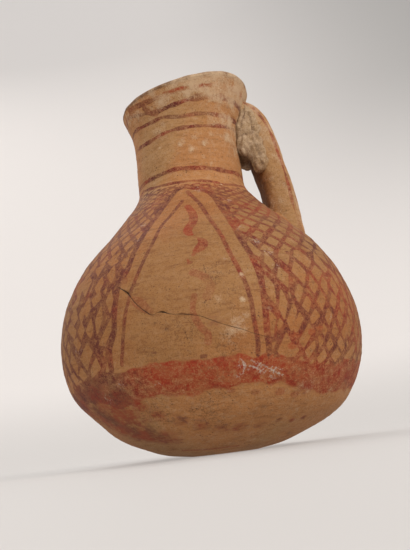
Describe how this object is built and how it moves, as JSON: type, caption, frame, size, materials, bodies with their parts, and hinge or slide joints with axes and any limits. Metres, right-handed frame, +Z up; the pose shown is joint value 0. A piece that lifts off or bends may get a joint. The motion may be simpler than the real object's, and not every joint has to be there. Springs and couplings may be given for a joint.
{
  "type": "pitcher",
  "caption": "Hand-made painted pottery pitcher with a round body, a straight neck, a flared wavy rim and one thick side handle.",
  "frame": {"origin": "on the ground plane, under the middle of the object's box, where the base rests", "axes": "+Z up along the jug's axis; +X towards the side with the handle; -Y is the painted front"},
  "size_m": [0.1342, 0.1344, 0.173],
  "materials": {
    "base_pad": "matt fired clay, worn",
    "lower_bowl": "matt fired clay with a broad red-brown band",
    "belly_course": "matt fired clay with red-brown net and panel lines",
    "shoulder_course": "matt fired clay with red-brown net and panel lines",
    "neck_tube": "matt fired clay with red-brown bands",
    "rim_collar": "matt fired clay with worn bands and pale deposits",
    "strap_handle": "matt fired clay",
    "upper_luting_wad": "rough grey-buff clay",
    "lower_luting_fillet": "matt fired clay"
  },
  "bodies": {
    "root": {"base_pad": "base_pad", "lower_bowl": "lower_bowl", "belly_course": "belly_course", "shoulder_course": "shoulder_course", "neck_tube": "neck_tube", "rim_collar": "rim_collar", "strap_handle": "strap_handle", "upper_luting_wad": "upper_luting_wad", "lower_luting_fillet": "lower_luting_fillet"}
  },
  "joints": []
}
